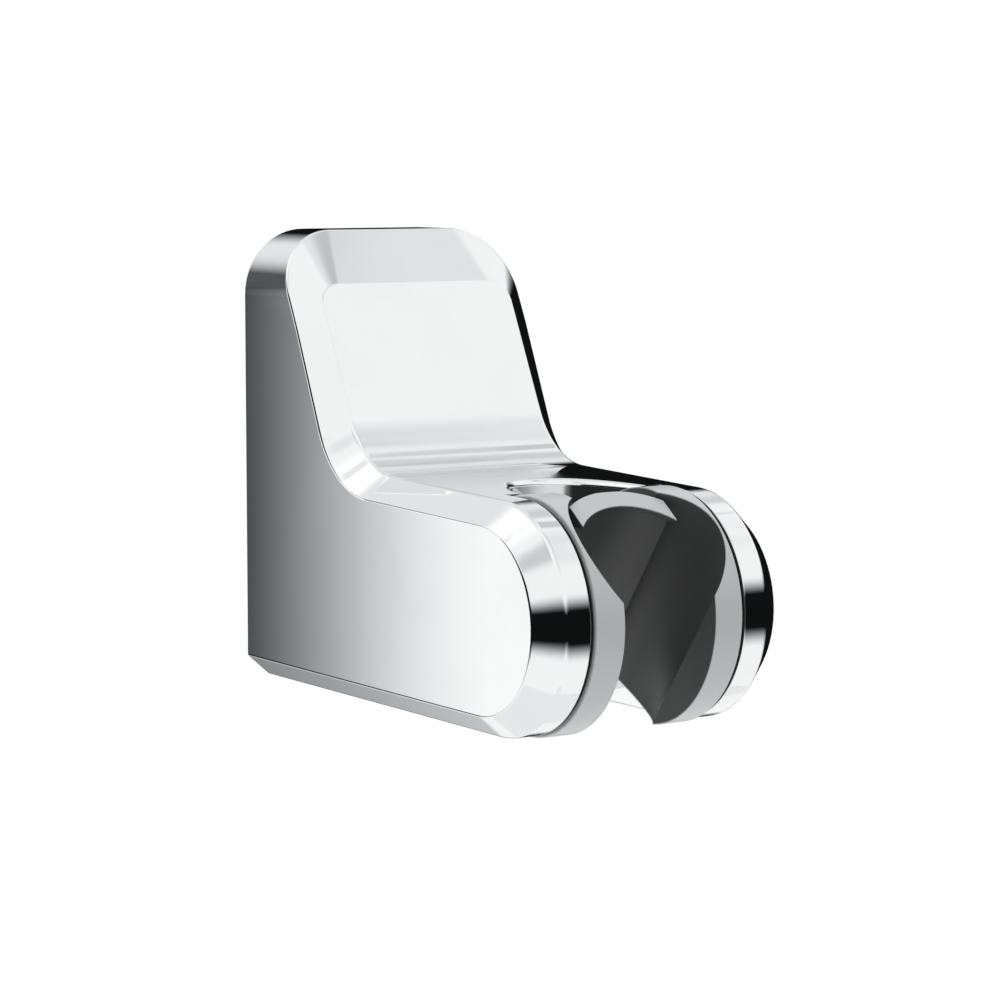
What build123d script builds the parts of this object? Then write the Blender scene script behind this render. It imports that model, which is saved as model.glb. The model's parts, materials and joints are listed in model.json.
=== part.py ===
from build123d import *
import os
from math import cos, degrees, radians, sin, tan

# Body: wedge-shaped back, sloping panel, arm with a round nose
body_width = 44.0
body_height = 74.0
pivot_reach = 71.0  # wall to the swivel axis
panel_foot = 31.9  # wall to the line where panel and arm top would meet
panel_lean = 26.5  # degrees from vertical
panel_blend = 15.0  # concave radius between panel and arm
side_foot = 27.3  # the same line for the outline of the side faces
side_blend = 16.5  # and its own concave radius
arm_rise = 1.6  # degrees, the arm's top climbs a little towards the wall
band_depth = 3.0  # slanted band round the panel's top, front to back
panel_drop = 8.45  # top of the body down to the panel's upper edge
panel_corner = 4.0
top_corner = 10.75
edge_chamfer = 3.5
chamfer_width = 4.0  # the same chamfer as seen from the front
edge_round = 0.6
panel_round = 1.2
cheek_round = 0.3
shell_wall = 3.0

# Fork and pocket for the drum
fork_gap = 27.6
notch_half_width = 11.2
notch_reach = 19.2
notch_round = 1.1
pocket_clearance = 0.3
hose_clearance = 1.2

# Drum
drum_radius = 18.15
drum_proud = 0.4  # the drum stands this far out of the round nose
end_clearance = 0.65
drum_edge = 0.3  # rounding of its two ends
bore_lean = 36.0  # degrees from vertical, upper end outwards
bore_radius = 12.7
bore_offset = 2.55  # swivel axis to bore axis, towards the front
slot_width = 16.5
window_width = 15.6
window_floor = -4.0  # along the bore, from the swivel axis

# Sprung tongue at the back of the bore
tongue_width = 17.0
tongue_centre = 5.3  # swivel axis to the centre of its curve, towards the front
tongue_back = 14.4
tongue_front = 12.35
lip_front = 11.15
lip_top = 15.8  # along the bore, from the swivel axis
lip_height = 0.4
foot_height = 6.0

# Swivel bearing, friction rings and stops
trunnion_radius = 7.0
trunnion_length = 3.5
bearing_clearance = 0.05
ring_thickness = 1.4
peg_radius = 1.5
peg_length = 1.5
stop_radius = 14.0
stop_clearance = 0.3
swing = 15.0  # degrees each way

# Wall plate with its hook, screw holes and boss
plate_thickness = 4.0
plate_clearance = 0.3
screw_spacing = 36.0
screw_hole = 5.0
screw_head = 10.0
finger_width = 20.0
finger_thickness = 3.0
finger_height = 3.5
rib_width = 2.0
rib_height = 3.0
boss_width = 14.0
boss_depth = 9.0
boss_height = 9.0

# Grub screw and square nut
screw_diameter = 4.0
screw_length = 10.0
screw_recess = 0.6
hole_clearance = 0.15
socket_width = 2.0
socket_depth = 3.0
nut_width = 7.0
nut_thickness = 3.2
nut_clearance = 0.15

# Places worked out from the sizes above
tiny = 0.01
side_x = body_width / 2
inner_x = side_x - chamfer_width
nose_radius = drum_radius - drum_proud
top_z = body_height / 2
bottom_z = -body_height / 2
pivot_z = bottom_z + nose_radius
arm_z = pivot_z + nose_radius
lean = radians(panel_lean)
rise = radians(arm_rise)
panel_top = -panel_foot + (top_z - arm_z) * tan(lean)
panel_edge_z = top_z - panel_drop
panel_edge = -panel_foot + (panel_edge_z - arm_z) * tan(lean)
wall_step = shell_wall / cos(lean)
fork_x = fork_gap / 2
drum_x = fork_x - end_clearance
pocket_radius = drum_radius + pocket_clearance
pivot = (0, -pivot_reach, pivot_z)
tilt = radians(bore_lean)
screw_y = -plate_thickness - boss_depth / 2
inside_bottom = bottom_z + shell_wall
boss_floor = inside_bottom + plate_clearance
nut_z = boss_floor + boss_height / 2
bearing_depth = trunnion_length
ceiling_z = panel_edge_z + shell_wall / 3
slot_top = ceiling_z + finger_height + plate_clearance
slot_front = plate_thickness + finger_thickness + 2 * plate_clearance

swivel_axis = Axis(pivot, (1, 0, 0))
bore_plane = Plane(origin=pivot, x_dir=(1, 0, 0), z_dir=(0, -sin(tilt), cos(tilt)))
panel_plane = Plane(
    origin=(0, panel_top, top_z), x_dir=(1, 0, 0), z_dir=(0, -cos(lean), sin(lean))
)
arm_plane = Plane(origin=pivot, x_dir=(1, 0, 0), z_dir=(0, -sin(rise), cos(rise)))
crown_foot = -(top_corner + edge_chamfer) / cos(lean)

os.makedirs("parts", exist_ok=True)


# True for an edge whose whole length keeps a measured distance at nought
def lies_on(edge, distance):
    return all(abs(distance(edge.position_at(share))) < tiny for share in (0.1, 0.5, 0.9))


# Side view of the body below its crown: inset is the chamfer taken off it, depth how far its slope
# ends behind the panel
def outline(plane, inset, foot, depth, blend):
    radius = nose_radius - inset
    crown = Vector(panel_plane.from_local_coords((0, crown_foot, -depth)))
    slope_foot = Vector(0, -foot, arm_z)
    slope_end = slope_foot * 2 - crown
    arm_start = arm_plane.from_local_coords((0, 0, radius))
    with BuildSketch(plane) as sketch:
        with BuildLine():
            slope = Line((slope_end.Y, slope_end.Z), (crown.Y, crown.Z), mode=Mode.PRIVATE)
            arm = IntersectingLine((arm_start.Y, arm_start.Z), (cos(rise), sin(rise)), slope)
            bend = arm @ 1
            Polyline(
                bend,
                (crown.Y, crown.Z),
                (0, crown.Z + crown.Y * tan(lean)),
                (0, bottom_z + inset),
                (-pivot_reach, bottom_z + inset),
            )
            ThreePointArc((-pivot_reach, bottom_z + inset), (-pivot_reach - radius, pivot_z), arm @ 0)
        make_face()
        fillet(sketch.vertices().sort_by_distance(bend)[0], radius=blend)
    return sketch.sketch


# Slanted band round the top of the panel: everything outside it is cut away
with BuildPart() as crown_cutter:
    outer_top = band_depth * tan(lean)
    inner_top = -panel_drop / cos(lean)
    corner_rise = top_corner / cos(lean)
    corner_x = side_x - top_corner
    corner_z = outer_top - corner_rise
    with BuildSketch(panel_plane.offset(-band_depth)):
        with Locations((0, (crown_foot + body_width) / 2)):
            Rectangle(2 * body_width, body_width - crown_foot)
    extrude(amount=2 * band_depth)
    with BuildSketch(panel_plane.offset(-band_depth)) as outer_edge:
        with BuildLine():
            Line((side_x, crown_foot), (side_x, corner_z))
            EllipticalCenterArc((corner_x, corner_z), top_corner, corner_rise, 0, arc_size=90)
            Line((corner_x, outer_top), (-corner_x, outer_top))
            EllipticalCenterArc((-corner_x, corner_z), top_corner, corner_rise, 90, arc_size=90)
            Line((-side_x, corner_z), (-side_x, crown_foot))
            Line((-side_x, crown_foot), (side_x, crown_foot))
        make_face()
    with BuildSketch(panel_plane) as inner_edge:
        inner_x_start = inner_x - panel_corner
        inner_bend = inner_top - panel_corner
        with BuildLine():
            Line((inner_x, crown_foot), (inner_x, inner_bend))
            CenterArc((inner_x_start, inner_bend), panel_corner, 0, 90)
            Line((inner_x_start, inner_top), (-inner_x_start, inner_top))
            CenterArc((-inner_x_start, inner_bend), panel_corner, 90, 90)
            Line((-inner_x, inner_bend), (-inner_x, crown_foot))
            Line((-inner_x, crown_foot), (inner_x, crown_foot))
        make_face()
    loft(sections=[outer_edge.sketch, inner_edge.sketch], ruled=True, mode=Mode.SUBTRACT)

# Hollow of the shell, open at the wall, with a slot in its ceiling for the hook
with BuildPart() as cavity:
    cavity_front = pivot_reach - pocket_radius - shell_wall
    relief_shift = (bore_radius - bore_offset + hose_clearance + shell_wall) / cos(tilt)
    cavity_low = pivot_reach - relief_shift - (pivot_z - inside_bottom) * tan(tilt)
    cavity_foot = panel_foot - wall_step + shell_wall * tan(lean)
    cavity_ceiling = panel_edge + wall_step
    with BuildSketch(Plane.YZ) as hollow_side:
        with BuildLine():
            Polyline(
                (shell_wall, inside_bottom),
                (-cavity_low, inside_bottom),
                (-cavity_front, pivot_z),
                (-cavity_front, arm_z - shell_wall),
                (-cavity_foot, arm_z - shell_wall),
                (cavity_ceiling, panel_edge_z),
                (-slot_front, panel_edge_z),
                (-slot_front, slot_top),
                (-plate_thickness, slot_top),
                (-plate_thickness, ceiling_z),
                (shell_wall, ceiling_z),
                close=True,
            )
        make_face()
        hollow_bend = hollow_side.vertices().sort_by_distance((-cavity_foot, arm_z - shell_wall))[0]
        fillet(hollow_bend, radius=panel_blend + shell_wall)
    extrude(amount=side_x - shell_wall, both=True)
    with BuildSketch(Plane.XZ) as hollow_front:
        Rectangle(body_width - 2 * shell_wall, body_height - 2 * shell_wall)
        fillet(hollow_front.vertices().group_by(Axis.Y)[-1], radius=top_corner - shell_wall)
    extrude(amount=2 * pivot_reach, both=True, mode=Mode.INTERSECT)

# Oval notch in the arm's top behind the drum, with a rounded rim
with BuildPart() as notch_cutter:
    with BuildSketch(arm_plane):
        Ellipse(notch_half_width, notch_reach)
    extrude(amount=nose_radius)
    with BuildSketch(arm_plane.offset(nose_radius)):
        Ellipse(notch_half_width + 2 * notch_round, notch_reach + 2 * notch_round)
    extrude(amount=notch_round)
    rim_edges = notch_cutter.edges().filter_by(
        lambda edge: lies_on(edge, lambda spot: arm_plane.to_local_coords(spot).Z - nose_radius)
    )
    fillet(rim_edges.sort_by(SortBy.LENGTH)[0], radius=notch_round)

# Chromed body: one half of its outside, mirrored, and then the cuts
with BuildPart() as body_shell:
    near_edge = outline(Plane.YZ.offset(-inner_x), 0, panel_foot, 0, panel_blend)
    far_edge = outline(Plane.YZ.offset(-side_x), edge_chamfer, side_foot, band_depth, side_blend)
    extrude(near_edge, amount=inner_x)
    loft(sections=[near_edge, far_edge], ruled=True)
    crown_start = panel_plane.from_local_coords((0, crown_foot, 0))
    with BuildSketch(Plane.YZ):
        with BuildLine():
            Polyline(
                (crown_start.Y, crown_start.Z),
                (panel_top, top_z),
                (0, top_z),
                (0, crown_start.Z + crown_start.Y * tan(lean)),
                close=True,
            )
        make_face()
    extrude(amount=-side_x)
    with BuildSketch(Plane.XZ) as front:
        Rectangle(body_width, body_height)
        fillet(front.vertices().group_by(Axis.Y)[-1], radius=top_corner)
    extrude(amount=2 * pivot_reach, mode=Mode.INTERSECT)
    add(crown_cutter.part, mode=Mode.SUBTRACT)
    # Soft edges along the side outline and along the panel, arm and nose
    free_edges = body_shell.edges().filter_by(
        lambda edge: edge.center().X < -tiny
        and edge.center().Y < -tiny
        and abs(edge.center().Z - top_z + top_corner) > tiny
    )
    outer_edges = free_edges.filter_by(
        lambda edge: lies_on(edge, lambda spot: spot.X + side_x)
        or lies_on(edge, lambda spot: panel_plane.to_local_coords(spot).Z + band_depth)
    )
    inner_edges = free_edges.filter_by(
        lambda edge: lies_on(edge, lambda spot: spot.X + inner_x)
        or edge.center().Z > crown_start.Z
        and lies_on(edge, lambda spot: panel_plane.to_local_coords(spot).Z)
    )
    fillet(inner_edges, radius=panel_round)
    fillet(outer_edges, radius=edge_round)
    mirror(about=Plane.YZ)
    # Round pocket for the drum, opened towards the back underneath for the hose
    with BuildSketch(Plane.YZ):
        with Locations((-pivot_reach, pivot_z)):
            Circle(pocket_radius)
        relief_y = -pivot_reach + (bore_radius - bore_offset + hose_clearance) * cos(tilt)
        relief_z = pivot_z + (bore_radius - bore_offset + hose_clearance) * sin(tilt)
        relief_end = relief_y + (relief_z - bottom_z + shell_wall) * tan(tilt)
        with BuildLine():
            Polyline(
                (-pivot_reach, pivot_z),
                (relief_y, relief_z),
                (relief_end, bottom_z - shell_wall),
                (-pivot_reach, bottom_z - shell_wall),
                close=True,
            )
        make_face()
    extrude(amount=fork_x, both=True, mode=Mode.SUBTRACT)
    add(notch_cutter.part, mode=Mode.SUBTRACT)
    cheek_edges = body_shell.edges().filter_by(GeomType.CIRCLE).filter_by(
        lambda edge: lies_on(edge, lambda spot: abs(spot.X) - fork_x) and edge.center().Y < -pivot_reach
    )
    fillet(cheek_edges.filter_by(lambda edge: abs(edge.radius - nose_radius) < tiny), radius=cheek_round)
    add(cavity.part, mode=Mode.SUBTRACT)
    # Blind bearings and stop grooves in the cheeks
    for hand in (-1, 1):
        with BuildSketch(Plane.YZ.offset(hand * fork_x)):
            with Locations((-pivot_reach, pivot_z)):
                Circle(trunnion_radius + bearing_clearance)
        extrude(amount=hand * bearing_depth, mode=Mode.SUBTRACT)
        groove_half = swing + degrees((peg_radius + stop_clearance) / stop_radius)
        groove_out = stop_radius + peg_radius + stop_clearance
        groove_in = stop_radius - peg_radius - stop_clearance
        with BuildSketch(Plane.YZ.offset(hand * fork_x)):
            with BuildLine():
                far = CenterArc((-pivot_reach, pivot_z), groove_out, bore_lean - groove_half, 2 * groove_half)
                near = CenterArc((-pivot_reach, pivot_z), groove_in, bore_lean - groove_half, 2 * groove_half)
                Line(far @ 0, near @ 0)
                Line(far @ 1, near @ 1)
            make_face()
        extrude(amount=hand * peg_length, mode=Mode.SUBTRACT)
    # Hole for the grub screw
    with BuildSketch(Plane.XY.offset(bottom_z)):
        with Locations((0, screw_y)):
            Circle(screw_diameter / 2 + hole_clearance)
    extrude(amount=shell_wall, mode=Mode.SUBTRACT)
body_shell.part.label = "body_shell"
export_step(body_shell.part, "parts/body_shell.step")

# Sprung tongue: a curved leaf with a hooked lip, standing on a foot
with BuildPart() as tongue:
    leaf_plane = Plane(
        origin=bore_plane.from_local_coords((0, -tongue_centre, 0)),
        x_dir=bore_plane.y_dir,
        z_dir=(1, 0, 0),
    )
    lip_reach = tongue_front - lip_front
    foot_top = -drum_radius + foot_height
    with BuildSketch(leaf_plane):
        with BuildLine():
            Polyline(
                (tongue_front, -drum_radius),
                (tongue_front, lip_top - lip_height - lip_reach),
                (lip_front, lip_top - lip_height),
                (lip_front, lip_top),
                (tongue_back, lip_top),
                (tongue_back, foot_top),
                (tongue_back + bore_offset, foot_top),
                (tongue_back + bore_offset, -drum_radius),
                close=True,
            )
        make_face()
    revolve(axis=Axis(leaf_plane.origin, bore_plane.z_dir), revolution_arc=360)
    with BuildSketch(bore_plane.offset(-2 * drum_radius)):
        with Locations((0, drum_radius - tongue_centre)):
            Rectangle(tongue_width, 2 * drum_radius)
    extrude(amount=4 * drum_radius, mode=Mode.INTERSECT)
    with BuildSketch(Plane.YZ):
        with Locations((-pivot_reach, pivot_z)):
            Circle(drum_radius)
    extrude(amount=drum_x, both=True, mode=Mode.INTERSECT)

# Drum that holds the hand shower
with BuildPart() as swivel_drum:
    with BuildSketch(Plane.YZ):
        with Locations((-pivot_reach, pivot_z)):
            Circle(drum_radius)
    extrude(amount=drum_x, both=True)
    fillet(swivel_drum.edges().filter_by(GeomType.CIRCLE), radius=drum_edge)
    with BuildSketch(bore_plane.offset(-2 * drum_radius)):
        with Locations((0, -bore_offset)):
            Circle(bore_radius)
        with Locations((0, -bore_offset - drum_radius)):
            Rectangle(slot_width, 2 * drum_radius)
    extrude(amount=4 * drum_radius, mode=Mode.SUBTRACT)
    with BuildSketch(bore_plane.offset(window_floor)):
        with Locations((0, drum_radius)):
            Rectangle(window_width, 2 * drum_radius)
    extrude(amount=2 * drum_radius, mode=Mode.SUBTRACT)
    add(tongue.part)
    for hand in (-1, 1):
        with BuildSketch(Plane.YZ.offset(hand * drum_x)):
            with Locations((-pivot_reach, pivot_z)):
                Circle(trunnion_radius)
        extrude(amount=hand * trunnion_length)
        with BuildSketch(Plane.YZ.offset(hand * (drum_x + trunnion_length / 2 - ring_thickness / 2))):
            with Locations((-pivot_reach, pivot_z)):
                Circle(trunnion_radius)
                Circle(trunnion_radius - ring_thickness, mode=Mode.SUBTRACT)
        extrude(amount=hand * ring_thickness, mode=Mode.SUBTRACT)
        with BuildSketch(Plane.YZ.offset(hand * drum_x)):
            with Locations((-pivot_reach + stop_radius * cos(tilt), pivot_z + stop_radius * sin(tilt))):
                Circle(peg_radius)
        extrude(amount=hand * peg_length)
swivel_drum.part.label = "swivel_drum"
export_step(swivel_drum.part, "parts/swivel_drum.step")

# Rubber rings in the trunnion grooves
with BuildPart() as friction_rings:
    ring_section = ring_thickness - 2 * bearing_clearance
    with BuildSketch(Plane.XY.offset(pivot_z)):
        for hand in (-1, 1):
            ring_x = hand * (drum_x + trunnion_length / 2)
            with Locations((ring_x, -pivot_reach + trunnion_radius - ring_thickness / 2)):
                Rectangle(ring_section, ring_section)
    revolve(axis=swivel_axis, revolution_arc=360)
friction_rings.part.label = "friction_rings"
export_step(friction_rings.part, "parts/friction_rings.step")

# Wall plate
with BuildPart() as wall_plate:
    plate_x = side_x - shell_wall - plate_clearance
    plate_top = ceiling_z - plate_clearance
    plate_corner = top_corner - shell_wall - plate_clearance
    with BuildSketch(Plane.XZ) as plate_outline:
        Rectangle(2 * plate_x, body_height - 2 * (shell_wall + plate_clearance))
        fillet(plate_outline.vertices().group_by(Axis.Y)[-1], radius=plate_corner)
        with Locations((0, plate_top + body_height / 2)):
            Rectangle(body_width, body_height, mode=Mode.SUBTRACT)
    extrude(amount=plate_thickness)
    with Locations(Plane.XZ.offset(plate_thickness)):
        with Locations((0, screw_spacing / 2), (0, -screw_spacing / 2)):
            CounterSinkHole(radius=screw_hole / 2, counter_sink_radius=screw_head / 2)
    # Hook finger in the slot of the shell's ceiling
    with BuildSketch(Plane.XZ.offset(plate_thickness)):
        with Locations((0, plate_top)):
            Rectangle(finger_width, 2 * finger_height)
    extrude(amount=finger_thickness)
    # Boss for the nut and the grub screw
    with BuildSketch(Plane.XZ.offset(plate_thickness)):
        with Locations((0, boss_floor + boss_height / 2)):
            Rectangle(boss_width, boss_height)
    extrude(amount=boss_depth)
    with BuildSketch(Plane.XY.offset(nut_z)):
        with Locations((0, screw_y - boss_depth / 2)):
            nut_slot = nut_width + 2 * nut_clearance
            Rectangle(nut_slot, boss_depth + nut_slot)
    extrude(amount=nut_thickness / 2 + nut_clearance, both=True, mode=Mode.SUBTRACT)
    with BuildSketch(Plane.XY.offset(boss_floor)):
        with Locations((0, screw_y)):
            Circle(screw_diameter / 2 + hole_clearance)
    extrude(amount=boss_height, mode=Mode.SUBTRACT)
    # Stiffening ribs down both sides
    for hand in (-1, 1):
        with BuildSketch(Plane.XZ.offset(plate_thickness)):
            with Locations((hand * (plate_x - rib_width / 2), 0)):
                Rectangle(rib_width, screw_spacing)
        extrude(amount=rib_height)
wall_plate.part.label = "wall_plate"
export_step(wall_plate.part, "parts/wall_plate.step")

# Square nut
with BuildPart() as lock_nut:
    with BuildSketch(Plane.XY.offset(nut_z)):
        with Locations((0, screw_y)):
            Rectangle(nut_width, nut_width)
            Circle(screw_diameter / 2 + bearing_clearance, mode=Mode.SUBTRACT)
    extrude(amount=nut_thickness / 2, both=True)
lock_nut.part.label = "lock_nut"
export_step(lock_nut.part, "parts/lock_nut.step")

# Grub screw with a hexagon socket at its lower end
with BuildPart() as grub_screw:
    with BuildSketch(Plane.XY.offset(bottom_z + screw_recess)):
        with Locations((0, screw_y)):
            Circle(screw_diameter / 2)
    extrude(amount=screw_length)
    with BuildSketch(Plane.XY.offset(bottom_z + screw_recess)):
        with Locations((0, screw_y)):
            RegularPolygon(socket_width / 2, 6, major_radius=False)
    extrude(amount=socket_depth, mode=Mode.SUBTRACT)
    chamfer(grub_screw.faces().sort_by(Axis.Z)[-1].edges(), length=screw_recess)
grub_screw.part.label = "grub_screw"
export_step(grub_screw.part, "parts/grub_screw.step")
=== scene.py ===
import bpy
import bmesh
import json
import numpy as np
from math import cos, radians, sin, tan
from mathutils import Matrix, Vector
from mathutils.kdtree import KDTree


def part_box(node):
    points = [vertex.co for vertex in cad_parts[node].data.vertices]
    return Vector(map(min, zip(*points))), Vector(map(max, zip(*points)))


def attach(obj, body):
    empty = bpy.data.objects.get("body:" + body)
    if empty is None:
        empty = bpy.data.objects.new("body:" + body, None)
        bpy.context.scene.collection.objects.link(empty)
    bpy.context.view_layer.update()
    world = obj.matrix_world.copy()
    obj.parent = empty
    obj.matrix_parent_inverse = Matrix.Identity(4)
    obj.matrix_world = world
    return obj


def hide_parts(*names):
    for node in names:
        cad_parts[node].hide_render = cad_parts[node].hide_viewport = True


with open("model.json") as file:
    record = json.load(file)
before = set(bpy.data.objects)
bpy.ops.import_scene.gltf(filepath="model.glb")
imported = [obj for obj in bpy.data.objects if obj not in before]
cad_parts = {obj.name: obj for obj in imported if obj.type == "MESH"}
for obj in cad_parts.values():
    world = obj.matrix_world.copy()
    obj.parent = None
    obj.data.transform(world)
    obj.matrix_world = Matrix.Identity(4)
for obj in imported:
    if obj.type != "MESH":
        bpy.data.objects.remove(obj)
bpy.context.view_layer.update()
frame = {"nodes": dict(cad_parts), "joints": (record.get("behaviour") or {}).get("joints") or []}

pivot = Vector(frame["joints"][0]["pos_m"])


class Wire:  # a node's output, used in expressions
    def __init__(self, board, socket):
        self.board, self.socket = board, socket

    def __add__(self, other):
        return self.board.maths("ADD", self, other)

    __radd__ = __add__

    def __sub__(self, other):
        return self.board.maths("SUBTRACT", self, other)

    def __rsub__(self, other):
        return self.board.maths("SUBTRACT", other, self)

    def __mul__(self, other):
        return self.board.maths("MULTIPLY", self, other)

    __rmul__ = __mul__

    def __truediv__(self, other):
        return self.board.maths("DIVIDE", self, other)

    def __pow__(self, other):
        return self.board.maths("POWER", self, other)

    def __abs__(self):
        return self.board.maths("ABSOLUTE", self)


class Board:  # a node tree that grows as expressions are written
    def __init__(self, tree):
        self.tree = tree
        tree.nodes.clear()

    def add(self, kind, settings=None, sockets=None, out=0):
        node = self.tree.nodes.new(kind)
        for key, value in (settings or {}).items():
            setattr(node, key, value)
        for key, value in (sockets or {}).items():
            if isinstance(value, Wire):
                self.tree.links.new(value.socket, node.inputs[key])
            else:
                node.inputs[key].default_value = value
        return Wire(self, node.outputs[out]) if node.outputs else None

    def maths(self, operation, *values):
        return self.add("ShaderNodeMath", {"operation": operation}, dict(enumerate(values)))

    def ease(self, value, low, high):  # 0 at low, 1 at high, soft at both ends
        sockets = {"Value": value, "From Min": low, "From Max": high}
        return self.add("ShaderNodeMapRange", {"interpolation_type": "SMOOTHSTEP"}, sockets)

    def span(self, value, start, full, dim, end):  # 0 outside, 1 in the middle, soft edges
        return self.ease(value, start, full) * self.ease(value, end, dim)

    def tint(self, share, first, second):
        return self.add("ShaderNodeMix", {"data_type": "RGBA"}, {0: share, 6: first, 7: second}, out=2)

    def place(self):  # the part's own X, Y and Z, in metres
        spot = self.add("ShaderNodeTexCoord", out="Object")
        return spot, [self.add("ShaderNodeSeparateXYZ", sockets={0: spot}, out=axis) for axis in "XYZ"]

    def noise(self, spot, scale, detail=2.0, rough=0.5):
        sockets = {"Vector": spot, "Scale": scale, "Detail": detail, "Roughness": rough}
        return self.add("ShaderNodeTexNoise", sockets=sockets)

    def bump(self, height, depth):
        return self.add("ShaderNodeBump", sockets={"Height": height, "Strength": 1.0, "Distance": depth})

    def surface(self, sockets):
        shader = self.add("ShaderNodeBsdfPrincipled", sockets=sockets)
        self.add("ShaderNodeOutputMaterial", sockets={"Surface": shader})


def newFinish(name):
    finish = bpy.data.materials.new(name)
    finish.use_nodes = True
    return finish, Board(finish.node_tree)


def grey(level, blue=0.0):
    return (level, level * (1 + blue * 0.5), level * (1 + blue), 1.0)


# Finishes
chrome = {  # metres and tangents, seen from the pivot
    "bright": grey(0.885, 0.012), "dull": grey(0.865, 0.012), "rough": 0.022, "smudge": 0.02,
    "smudgeNoise": (70, 4, 0.6), "smudgeLimits": (0.42, 0.75), "waveNoise": (160, 1), "wave": 4e-7,
    "soft": 0.00006, "pocketRadius": 0.0186, "dim": grey(0.72, 0.012), "satin": 0.16,
    # Painted shade: a near-black, non-metal colour, its side edges and its roughness, for the fork's gap faces
    # and the notch's wall
    "paintedShade": grey(0.03, 0.03), "shadeStart": 0.01372, "shadeEnd": 0.01396, "shadeRough": 0.4,
    "armTop": 0.01775, "armRise": tan(radians(1.6)), "rim": 0.0009,
    "notch": (0.0116, 0.0196), "notchEdge": (1.0, 0.99), "notchSides": (0.0045, 0.0058),
    "draft": tan(radians(16)), "draftEnds": (0.0062, 0.0042),
    "veil": 0.11, "veilSides": (-0.0188, -0.0178, 0.005, 0.011),
    "veilHeights": (-0.010, -0.003, 0.0002, 0.0005),
}


def chromeFinish():
    finish, board = newFinish("polishedChrome")
    spot, (x, y, z) = board.place()
    out, up, side, soft = y - pivot.y, z - pivot.z, abs(x), chrome["soft"]
    smudge = board.ease(board.noise(spot, *chrome["smudgeNoise"]), *chrome["smudgeLimits"])
    reach = (out * out + up * up) ** 0.5
    pocket = board.ease(reach, chrome["pocketRadius"], chrome["pocketRadius"] - soft)  # the fork's inside
    pocket = pocket * board.ease(side, chrome["shadeEnd"], chrome["shadeEnd"] - soft)
    wide, deep = x / chrome["notch"][0], out / chrome["notch"][1]
    sunk = chrome["armTop"] + out * chrome["armRise"] - up  # depth below the arm's top
    notch = board.ease(wide * wide + deep * deep, *chrome["notchEdge"])
    notch = notch * board.ease(sunk, chrome["rim"], chrome["rim"] + soft)
    inner = board.maths("MAXIMUM", pocket, notch)
    cheeks = pocket * board.ease(side, chrome["shadeStart"] - soft, chrome["shadeStart"])
    paintedShade = board.maths("MAXIMUM", cheeks, notch * board.ease(side, *chrome["notchSides"]))  # painted shade: near black and not metal, on the fork's inner faces in the gap beside the drum and on the notch's wall away from its middle
    draft = chrome["draft"] / chrome["wave"] * (sunk - chrome["rim"]) * notch  # tilts the notch's wall
    draft = draft * board.ease(side, *chrome["draftEnds"])
    veil = board.span(x, *chrome["veilSides"]) * board.span(sunk, *chrome["veilHeights"])  # softer arm top
    # Painted shade: the fork's inside and the notch take a dimmer plated colour, a darkening of these recesses;
    # their added roughness is the satin finish
    plated = board.tint(inner, board.tint(smudge, chrome["bright"], chrome["dull"]), chrome["dim"])
    rough = chrome["rough"] + chrome["smudge"] * smudge + chrome["satin"] * inner
    board.surface({
        "Base Color": board.tint(paintedShade, plated, chrome["paintedShade"]),
        "Metallic": 1.0 - paintedShade,
        "Roughness": rough + chrome["shadeRough"] * paintedShade + chrome["veil"] * veil,
        "Normal": board.bump(board.noise(spot, *chrome["waveNoise"]) + draft, chrome["wave"]),
    })
    return finish


drumLook = {  # metres from the pivot; back and lip are on the bore's leaning axis
    "radius": 0.01815, "skin": 0.00025, "lean": radians(36), "endStart": 0.0128, "endRadius": 0.0173,
    "lipTop": 0.0158, "lipHalfWidth": 0.00855, "lipCentre": 0.0053, "lipBack": 0.01445,
    "outside": grey(0.74, 0.02), "inside": grey(0.072, 0.05),
    "rough": 0.36, "cloudRough": 0.1, "paleRough": 0.04,
    "grainNoise": (9000, 3), "grain": 2e-6, "cloudNoise": (90, 3), "cloud": 0.08, "cloudTone": grey(0.3),
}


def drumFinish():
    finish, board = newFinish("satinDrum")
    spot, (x, y, z) = board.place()
    out, up, side, skin = y - pivot.y, z - pivot.z, abs(x), drumLook["skin"]
    reach = (out * out + up * up) ** 0.5
    along = up * cos(drumLook["lean"]) - out * sin(drumLook["lean"])
    back = out * cos(drumLook["lean"]) + up * sin(drumLook["lean"]) + drumLook["lipCentre"]
    # The pale mask gives the outer skin, the tongue's top lip and the end rims the outside grey, and everything
    # else the dark inside grey. This is partly a two-tone moulding and partly painted light: painted shade in
    # the bore, slot, tongue and the gap at the ends, and a painted highlight on the lip's top.
    shell = board.ease(reach, drumLook["radius"] - skin, drumLook["radius"] - skin / 3)
    lip = board.ease(along, drumLook["lipTop"] - skin, drumLook["lipTop"] - skin / 3)
    lip = lip * board.ease(side, drumLook["lipHalfWidth"] + skin / 5, drumLook["lipHalfWidth"])
    lip = lip * board.ease((x * x + back * back) ** 0.5, drumLook["lipBack"] + skin, drumLook["lipBack"])
    ends = board.ease(side, drumLook["endStart"], drumLook["endStart"] + skin / 3)
    ends = ends * board.ease(reach, drumLook["endRadius"] - skin, drumLook["endRadius"] + skin)
    pale = board.maths("MAXIMUM", board.maths("MAXIMUM", shell, ends), lip)
    cloud = board.noise(spot, *drumLook["cloudNoise"])
    tone = board.tint(pale, drumLook["inside"], drumLook["outside"])
    board.surface({
        "Base Color": board.tint(cloud * drumLook["cloud"], tone, drumLook["cloudTone"]),
        "Roughness": drumLook["rough"] + drumLook["cloudRough"] * cloud - drumLook["paleRough"] * pale,
        "Normal": board.bump(board.noise(spot, *drumLook["grainNoise"]), drumLook["grain"]),
    })
    return finish


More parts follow.
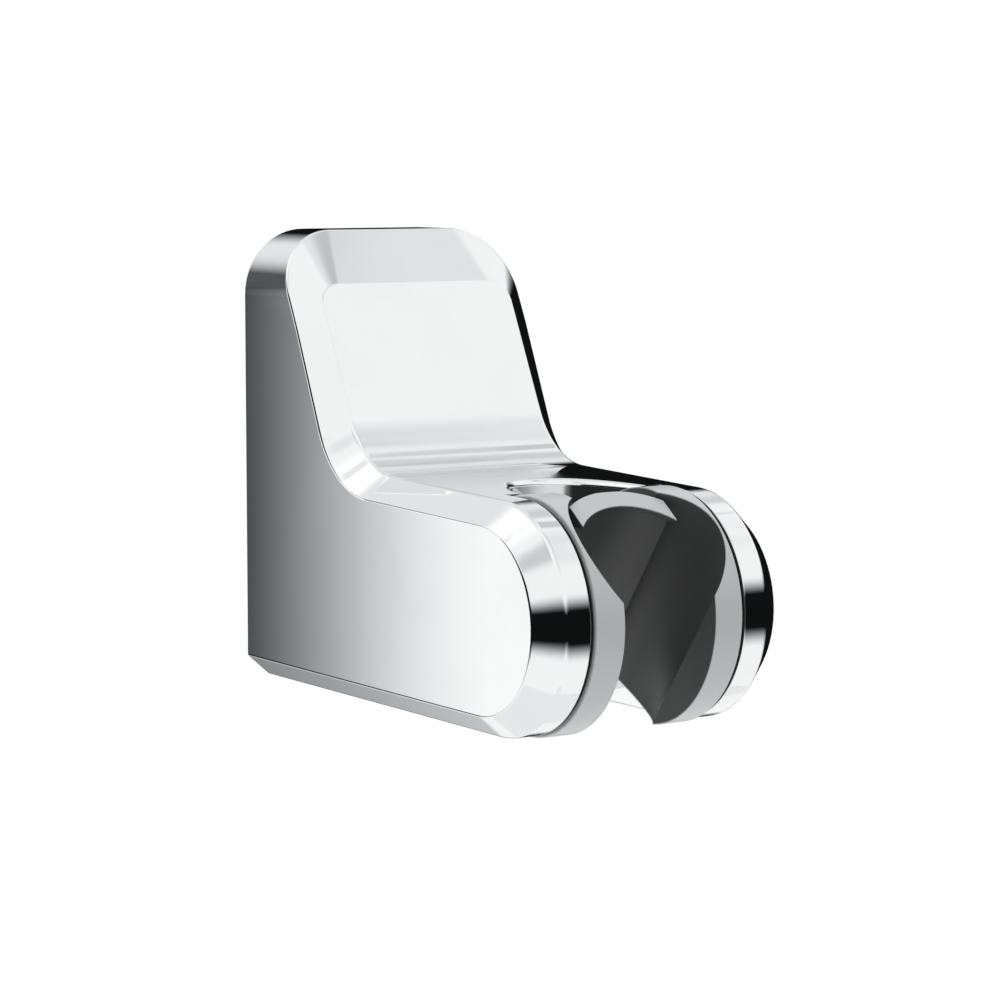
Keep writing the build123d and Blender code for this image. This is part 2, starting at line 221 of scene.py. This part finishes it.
plateLook = {
    "tone": grey(0.055, 0.03), "worn": grey(0.085, 0.03), "cloudNoise": (60, 3),
    "grainNoise": (2600, 4, 0.6), "grain": 1.2e-5, "rough": 0.5, "grainRough": 0.2,
}


def plateFinish():
    finish, board = newFinish("mouldedPlate")
    spot, _ = board.place()
    grain = board.noise(spot, *plateLook["grainNoise"])
    cloud = board.noise(spot, *plateLook["cloudNoise"])
    board.surface({
        "Base Color": board.tint(cloud, plateLook["tone"], plateLook["worn"]),
        "Roughness": plateLook["rough"] + plateLook["grainRough"] * grain,
        "Normal": board.bump(grain, plateLook["grain"]),
    })
    return finish


ringLook = {
    "tone": grey(0.012), "dust": grey(0.03), "dustLimits": (0.45, 0.8),
    "grainNoise": (5200, 3), "grain": 6e-6, "rough": 0.62, "grainRough": 0.25,
}


def ringFinish():
    finish, board = newFinish("ringRubber")
    spot, _ = board.place()
    grain = board.noise(spot, *ringLook["grainNoise"])
    dust = board.ease(grain, *ringLook["dustLimits"])
    board.surface({
        "Base Color": board.tint(dust, ringLook["tone"], ringLook["dust"]),
        "Roughness": ringLook["rough"] + ringLook["grainRough"] * grain,
        "Normal": board.bump(grain, ringLook["grain"]),
    })
    return finish


steelLook = {
    "bright": grey(0.6, 0.02), "dark": grey(0.4, 0.03), "cloudNoise": (700, 4, 0.65),
    "lines": 26000.0, "wander": 5.0, "depth": 1.5e-6, "rough": 0.24, "cloudRough": 0.2,
}


def steelFinish():
    finish, board = newFinish("zincSteel")
    spot, (_, _, z) = board.place()
    cloud = board.noise(spot, *steelLook["cloudNoise"])
    turned = board.maths("SINE", z * steelLook["lines"] + steelLook["wander"] * cloud)
    board.surface({
        "Base Color": board.tint(cloud, steelLook["dark"], steelLook["bright"]),
        "Metallic": 1.0,
        "Roughness": steelLook["rough"] + steelLook["cloudRough"] * cloud,
        "Normal": board.bump(turned, steelLook["depth"]),
    })
    return finish


# Polished copies: one closed skin with normals fitted to the true surface, so reflections run smoothly
smoothing = {
    "sameSpot": 2e-6, "flatSpread": radians(0.3), "softAngle": radians(24), "sharpAngle": radians(3),
    "trueWeight": 50.0, "mostTurn": radians(15), "keepShape": 1e-4, "snapAxis": radians(0.5), "roundMiss": 3e-6,
    "nothing": 1e-20, "sliver": 1e-10, "tooNear": 1e-7, "fewest": 4, "nearness": 0.1,
}


def meshArrays(source):
    points = np.empty(len(source.vertices) * 3)
    source.vertices.foreach_get("co", points)
    triangles = np.empty(len(source.loops), int)
    source.loops.foreach_get("vertex_index", triangles)
    return points.reshape(-1, 3), triangles.reshape(-1, 3)


def islandLabels(count, triangles):  # one number for each loose CAD face
    label = np.arange(count)
    while True:
        low = label[triangles].min(axis=1)
        lower = label.copy()
        for side in range(3):
            np.minimum.at(lower, triangles[:, side], low)
        lower = lower[lower]
        if (lower == label).all():
            return label
        label = lower


def roundNormals(spots, facing, rough):  # true normals where the points lie on a cylinder, else nothing
    axis = np.linalg.eigh(facing.T @ facing)[1][:, 0]
    main = np.eye(3)[abs(axis).argmax()] * np.sign(axis[abs(axis).argmax()])
    if axis @ main > cos(smoothing["snapAxis"]):
        axis = main
    u = np.cross(axis, np.eye(3)[abs(axis).argmin()])
    u /= np.linalg.norm(u)
    across = np.stack([u, np.cross(axis, u)], axis=1)
    flatSpots = (spots - spots.mean(axis=0)) @ across
    rows = np.column_stack([2 * flatSpots, np.full(len(spots), abs(flatSpots).max())])
    centre = np.linalg.lstsq(rows, (flatSpots ** 2).sum(axis=1), rcond=None)[0][:2]
    arm = flatSpots - centre
    reach = np.linalg.norm(arm, axis=1)
    if np.ptp(reach) > smoothing["roundMiss"] or reach.min() < smoothing["roundMiss"]:
        return None
    normals = (arm / reach[:, None]) @ across.T
    return normals * np.sign((normals * rough).sum())


def roughNormals(points, triangles):  # area-weighted, but true ones on flat and round faces
    corners = points[triangles]
    cross = np.cross(corners[:, 1] - corners[:, 0], corners[:, 2] - corners[:, 0])
    length = np.linalg.norm(cross, axis=1)
    facing = cross / np.maximum(length, smoothing["nothing"])[:, None]
    rough = np.zeros_like(points)
    for side in range(3):
        np.add.at(rough, triangles[:, side], cross)
    rough /= np.maximum(np.linalg.norm(rough, axis=1, keepdims=True), smoothing["nothing"])
    label = islandLabels(len(points), triangles)
    true = np.zeros(len(points), bool)
    for island in np.unique(label):
        mine, spots = label[triangles[:, 0]] == island, label == island
        mean = cross[mine].sum(axis=0)
        mean /= max(np.linalg.norm(mean), smoothing["nothing"])
        big = mine & (length > smoothing["sliver"])
        if not big.any() or (facing[big] @ mean).min() > cos(smoothing["flatSpread"]):
            true[spots], rough[spots] = True, mean
        else:
            normals = roundNormals(points[spots], facing[big], rough[spots])
            if normals is not None:
                true[spots], rough[spots] = True, normals
    return rough, true


def fitNormal(offset, rough):  # slope of a curved patch through the points around a spot
    along = offset - np.outer(offset @ rough, rough)
    spread = np.linalg.norm(along, axis=1)
    u = along[spread.argmax()] / spread.max()
    v = np.cross(rough, u)
    s, t, height = offset @ u, offset @ v, offset @ rough
    sMost, tMost = abs(s).max(), abs(t).max()
    s, t = s / sMost, t / tMost
    weight = 1 / (np.hypot(s, t) + smoothing["nearness"])
    rows = np.stack([s, t, s * s, s * t, t * t], axis=1) * weight[:, None]
    slope = np.linalg.lstsq(rows, height * weight, rcond=smoothing["keepShape"])[0]
    fitted = rough - slope[0] / sMost * u - slope[1] / tMost * v
    fitted /= np.linalg.norm(fitted)
    return fitted if fitted @ rough > cos(smoothing["mostTurn"]) else rough


def fittedNormals(points, triangles):
    rough, true = roughNormals(points, triangles)
    near = [set() for _ in points]
    for a, b, c in triangles:
        near[a].update((b, c))
        near[b].update((a, c))
        near[c].update((a, b))
    normals = rough.copy()
    for spot in np.flatnonzero(~true):
        ring = set().union(near[spot], *(near[other] for other in near[spot])) - {spot}
        offset = points[sorted(ring)] - points[spot]
        offset = offset[np.linalg.norm(offset, axis=1) > smoothing["tooNear"]]
        if len(offset) >= smoothing["fewest"]:
            normals[spot] = fitNormal(offset, rough[spot])
    return normals, true


def spotGroups(points):  # corners that share one place
    tree = KDTree(len(points))
    for index, point in enumerate(points):
        tree.insert(point, index)
    tree.balance()
    first, groups = np.full(len(points), -1), {}
    for index, point in enumerate(points):
        if first[index] < 0:
            found = [k for _, k, _ in tree.find_range(point, smoothing["sameSpot"]) if first[k] < 0]
            first[found] = index
            groups[index] = found
    return first, groups


def polishedMesh(source, name):
    points, triangles = meshArrays(source)
    normals, true = fittedNormals(points, triangles)
    first, groups = spotGroups(points)
    weight = np.where(true, smoothing["trueWeight"], 1.0)
    shared = normals.copy()
    for group in groups.values():
        own = normals[group]
        sharp = np.outer(true[group], true[group])
        limit = np.where(sharp, cos(smoothing["sharpAngle"]), cos(smoothing["softAngle"]))
        mixed = ((own @ own.T > limit) * weight[group][None, :]) @ own
        shared[group] = mixed / np.linalg.norm(mixed, axis=1, keepdims=True)
    kept = np.array(sorted(groups))
    place = np.full(len(points), -1)
    place[kept] = np.arange(len(kept))
    merged = place[first[triangles]]
    whole = (merged != np.roll(merged, 1, axis=1)).all(axis=1)
    mesh = bpy.data.meshes.new(name)
    mesh.from_pydata(points[kept].tolist(), [], merged[whole].tolist())
    mesh.polygons.foreach_set("use_smooth", [True] * len(mesh.polygons))
    mesh.normals_split_custom_set(shared[triangles[whole]].reshape(-1, 3).tolist())
    return mesh


def addPiece(mesh, body, slotName, *nodes):
    piece = bpy.data.objects.new(mesh.name, mesh)
    bpy.context.scene.collection.objects.link(piece)
    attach(piece, body)
    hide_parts(*nodes)
    return piece


def addPolished(name, node, body, slotName, finish):
    mesh = polishedMesh(frame["nodes"][node].data, name)
    mesh.materials.append(finish)
    print(name, len(mesh.vertices), "points", len(mesh.polygons), "triangles")
    return addPiece(mesh, body, slotName, node)


steel = steelFinish()
addPolished("chromeBody", "body_shell", "holder", "body_chrome", chromeFinish())
addPolished("satinDrum", "swivel_drum", "drum", "drum_plastic", drumFinish())
addPolished("wallBracket", "wall_plate", "holder", "plate_plastic", plateFinish())
addPolished("gripRings", "friction_rings", "drum", "ring_rubber", ringFinish())
addPolished("squareNut", "lock_nut", "holder", "steel", steel)

# Grub screw: the CAD pin turned down to its core, with a thread wound round it
screw = {
    "pitch": 0.0007, "depth": 0.0003, "clear": 0.00002, "lead": 0.0005, "tail": 0.0009,
    "stepsPerTurn": 28, "ridgeSides": 4,
}


def threadTree(finish):
    tree = bpy.data.node_groups.new("screwThread", "GeometryNodeTree")
    tree.interface.new_socket("Screw", in_out="OUTPUT", socket_type="NodeSocketGeometry")
    kinds = {
        "Core": "Geometry", "Turns": "Float", "Radius": "Float", "Length": "Float", "Ridge": "Float",
        "Start": "Vector", "Steps": "Int",
    }
    for name, kind in kinds.items():
        tree.interface.new_socket(name, in_out="INPUT", socket_type="NodeSocket" + kind)
    board = Board(tree)
    given = tree.nodes.new("NodeGroupInput").outputs
    size = {name: Wire(board, given[name]) for name in kinds}
    helix = board.add("GeometryNodeCurveSpiral", sockets={
        "Resolution": size["Steps"], "Rotations": size["Turns"], "Height": size["Length"],
        "Start Radius": size["Radius"], "End Radius": size["Radius"],
    })
    upright = board.add("GeometryNodeSetCurveNormal", {"mode": "Z_UP"}, {"Curve": helix})
    ridge = board.add("GeometryNodeCurvePrimitiveCircle", sockets={
        "Resolution": screw["ridgeSides"], "Radius": size["Ridge"],
    })
    thread = board.add("GeometryNodeCurveToMesh", sockets={
        "Curve": upright, "Profile Curve": ridge, "Fill Caps": True,
    })
    seated = board.add("GeometryNodeTransform", sockets={"Geometry": thread, "Translation": size["Start"]})
    joined = board.add("GeometryNodeJoinGeometry", sockets={"Geometry": seated})
    tree.links.new(size["Core"].socket, joined.socket.node.inputs["Geometry"])
    real = board.add("GeometryNodeRealizeInstances", sockets={"Geometry": joined})
    board.add("NodeGroupOutput", sockets={
        "Screw": board.add("GeometryNodeSetMaterial", sockets={"Geometry": real, "Material": finish}),
    })
    return tree


def buildScrew(finish):
    low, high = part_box("grub_screw")
    middle, radius = (low + high) / 2, (high.x - low.x) / 2
    core = radius - screw["depth"]
    mesh = polishedMesh(frame["nodes"]["grub_screw"].data, "screwCore")
    for vertex in mesh.vertices:
        arm = Vector((vertex.co.x - middle.x, vertex.co.y - middle.y))
        if arm.length > core:
            arm *= core / arm.length
            vertex.co.x, vertex.co.y = middle.x + arm.x, middle.y + arm.y
    shaper = bpy.data.objects.new("screwCore", mesh)
    bpy.context.scene.collection.objects.link(shaper)
    wind = shaper.modifiers.new("thread", "NODES")
    wind.node_group = threadTree(finish)
    length = high.z - low.z - screw["lead"] - screw["tail"]
    sizes = {
        "Turns": length / screw["pitch"], "Radius": core, "Length": length,
        "Ridge": screw["depth"] - screw["clear"], "Steps": screw["stepsPerTurn"],
        "Start": (middle.x, middle.y, low.z + screw["lead"]),
    }
    for item in wind.node_group.interface.items_tree:
        if item.name in sizes:
            wind[item.identifier] = sizes[item.name]
    bpy.context.view_layer.update()
    shaped = bpy.data.meshes.new_from_object(shaper.evaluated_get(bpy.context.evaluated_depsgraph_get()))
    shaped.name = "setScrew"
    shaper.modifiers.remove(wind)
    bpy.data.objects.remove(shaper)
    print("setScrew", len(shaped.polygons), "faces,", round(sizes["Turns"], 1), "turns")
    return addPiece(shaped, "holder", "steel", "grub_screw")


buildScrew(steel)

# Studio: pale floor, soft white light above and below, a dark gap at the horizon, soft boxes behind on the left
floor = {
    "radius": 0.45, "drop": 0.6, "sides": 96, "tone": grey(0.9), "shade": grey(0.86), "cloudNoise": (3, 4),
    "rough": 0.8, "cloudRough": 0.1, "gloss": 0.1, "glow": 0.16,
}


def buildFloor():
    finish, board = newFinish("paleFloor")
    spot, _ = board.place()
    cloud = board.noise(spot, *floor["cloudNoise"])
    board.surface({
        "Base Color": board.tint(cloud, floor["tone"], floor["shade"]),
        "Roughness": floor["rough"] + floor["cloudRough"] * cloud,
        "Specular IOR Level": floor["gloss"],
        "Emission Color": grey(1.0),
        "Emission Strength": floor["glow"],
    })
    mesh = bpy.data.meshes.new("floor")
    shape = bmesh.new()
    seat = Matrix.Translation((0, 0, -floor["drop"]))
    rim = {"segments": floor["sides"], "radius": floor["radius"]}
    bmesh.ops.create_circle(shape, cap_ends=True, matrix=seat, **rim)
    shape.to_mesh(mesh)
    shape.free()
    mesh.materials.append(finish)
    disc = bpy.data.objects.new("floor", mesh)
    bpy.context.scene.collection.objects.link(disc)


studio = {  # degrees: azimuth from +Y towards +X, height above the horizon; four numbers are two soft edges
    "skyEdge": 14.0, "skySoft": 7.5, "groundEdge": -22.5, "groundSoft": 8.5, "least": 0.006,
    "skyRise": {  # where the dark gap at the horizon reaches higher
        "behind": (7.0, (-44, -34, 34, 50)),
        "corner": (5.0, (-2, 16, 34, 50)),
        "left": (16.0, (-116, -107, -56, -46)),
        "right": (6.0, (44, 54, 68, 80)),
        "front": (2.0, (105, 130, 400, 401)),
    },
    "groundDrop": {  # and where it reaches lower
        "behind": (6.8, (-50, -32, 32, 50)),
        "front": (2.5, (105, 130, 400, 401)),
    },
    "panels": {  # brighter and dimmer parts of the white above: amount, azimuth edges, height edges
        "key": (0.22, (-86, -62, -24, -8), (32, 44, 55, 66)),
        "flag": (-0.33, (-124, -112, -105, -88), (38, 47, 60, 70)),
        "wall": (-0.14, (-32, -14, 50, 62), (-90, -89, 400, 401)),
        "corner": (-0.17, (40, 48, 52, 58), (30, 40, 60, 70)),
        "ceiling": (-0.15, (66, 100, 124, 142), (51, 57, 84, 89)),
        "hatch": (-0.25, (85, 98, 112, 130), (57.6, 61.5, 62.5, 74)),
        "lid": (-0.30, (-65, -61, -54, -49), (47, 50, 56, 60)),
        "streak": (-0.35, (58, 63, 70, 76), (50, 52, 56.5, 58.5)),
        "front": (-0.16, (105, 125, 400, 401), (40, 54, 60, 70)),
    },
    "boxes": {  # lights that reach down into the gap
        "side": (1.06, (-66, -44, -33.0, -27.5), (-30, -16, 0, 40)),
        "bounce": (0.10, (-40, -32, -20, -8), (-4, 8, 22, 40)),
    },
    "cool": (0.945, 1.0, 1.045, 1.0),
}


def buildStudio():
    world = bpy.data.worlds.new("studio")
    world.use_nodes = True
    bpy.context.scene.world = world
    board = Board(world.node_tree)
    ray = board.add("ShaderNodeTexCoord", out="Generated")
    x, y, z = [board.add("ShaderNodeSeparateXYZ", sockets={0: ray}, out=axis) for axis in "XYZ"]
    height = board.maths("DEGREES", board.maths("ARCSINE", z))
    azimuth = board.maths("DEGREES", board.maths("ARCTAN2", x, y))
    upper, lower = studio["skyEdge"], studio["groundEdge"]
    for rise, sides in studio["skyRise"].values():
        upper = upper + rise * board.span(azimuth, *sides)
    for drop, sides in studio["groundDrop"].values():
        lower = lower - drop * board.span(azimuth, *sides)
    level = 1.0
    for amount, sides, heights in studio["panels"].values():
        level = level + amount * board.span(azimuth, *sides) * board.span(height, *heights)
    sky = level * board.ease(height - upper, -studio["skySoft"], studio["skySoft"])
    ground = board.ease(lower - height, -studio["groundSoft"], studio["groundSoft"])
    light = board.maths("MAXIMUM", board.maths("MAXIMUM", sky, ground), studio["least"])
    for amount, sides, heights in studio["boxes"].values():
        box = amount * board.span(azimuth, *sides) * board.span(height, *heights)
        light = board.maths("MAXIMUM", light, box)
    seen = board.add("ShaderNodeLightPath", out="Is Camera Ray")
    shade = board.add("ShaderNodeBackground", sockets={
        "Color": board.tint(board.maths("MAXIMUM", seen, light), studio["cool"], grey(1.0)),
        "Strength": seen + light * (1 - seen),
    })
    board.add("ShaderNodeOutputWorld", sockets={"Surface": shade})


view = {
    "place": (-0.27599, -0.46910, 0.04857), "target": (0.0, -0.04305, -0.00504), "lens": 116.46,
    "clip": (0.01, 20),
}


def buildCamera():
    camera = bpy.data.objects.new("camera", bpy.data.cameras.new("camera"))
    bpy.context.scene.collection.objects.link(camera)
    camera.data.lens = view["lens"]
    camera.data.clip_start, camera.data.clip_end = view["clip"]
    place = Vector(view["place"])
    aim = Vector(view["target"]) - place
    camera.matrix_world = Matrix.Translation(place) @ aim.to_track_quat("-Z", "Y").to_matrix().to_4x4()
    bpy.context.scene.camera = camera


buildFloor()
buildStudio()
buildCamera()
bpy.context.scene.view_settings.view_transform = "Standard"
print("studio and camera set")
